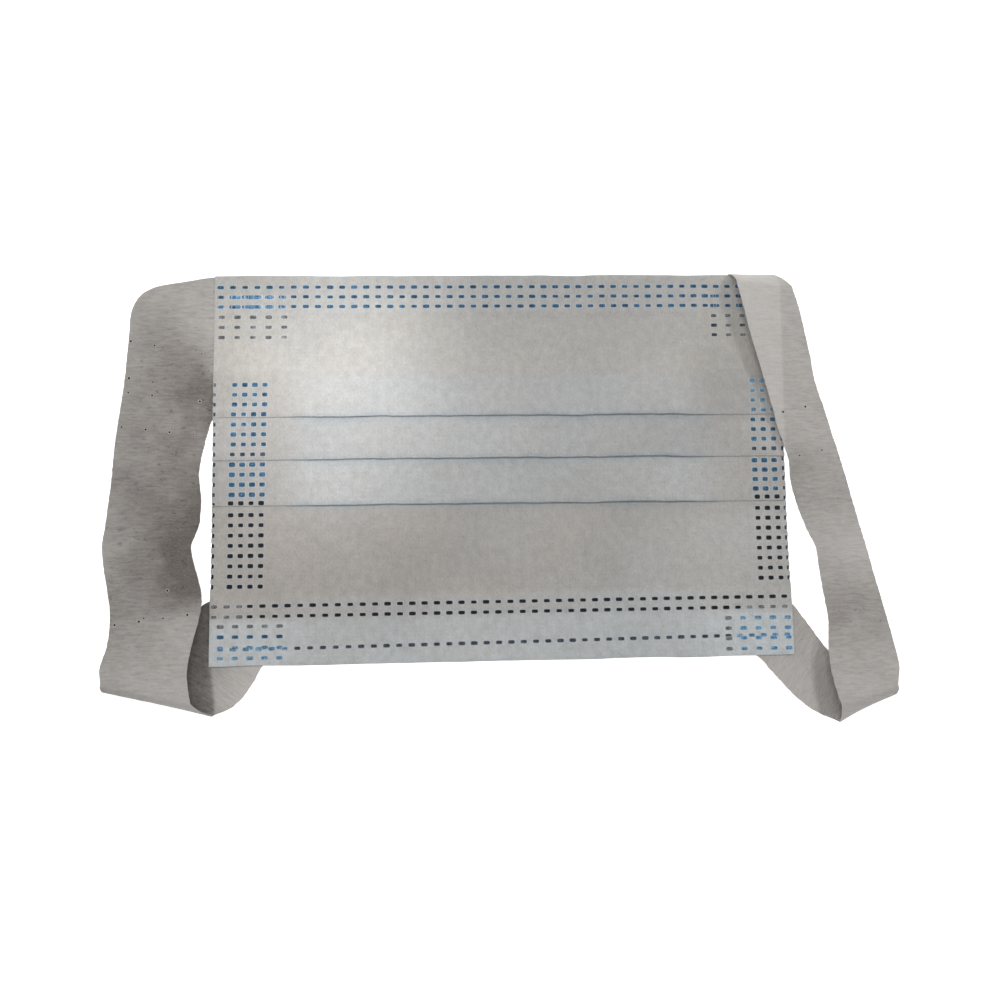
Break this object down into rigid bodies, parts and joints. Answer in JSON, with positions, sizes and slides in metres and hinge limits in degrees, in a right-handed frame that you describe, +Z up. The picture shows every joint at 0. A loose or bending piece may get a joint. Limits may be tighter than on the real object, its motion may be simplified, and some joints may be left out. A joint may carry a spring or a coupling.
{
  "type": "surgical face mask",
  "caption": "Pleated surgical face mask with a folded hem along each long edge and a flat nonwoven ear strap on each side, lying flat with its inner side up.",
  "frame": {"origin": "centre of the mask's footprint, straps included, on the surface that it lies on", "axes": "+Z up out of the inner side of the panel, +Y towards the top hem, +X to the right, across both straps"},
  "size_m": [0.1932, 0.1152, 0.006],
  "materials": {
    "panel_nonwoven": "matte white three-ply nonwoven with pressed weld dots",
    "strap_nonwoven": "matte thin translucent stretch nonwoven, finely creased"
  },
  "bodies": {
    "root": {"mask_panel": "panel_nonwoven", "ear_strap_left": "strap_nonwoven", "ear_strap_right": "strap_nonwoven"}
  },
  "joints": []
}
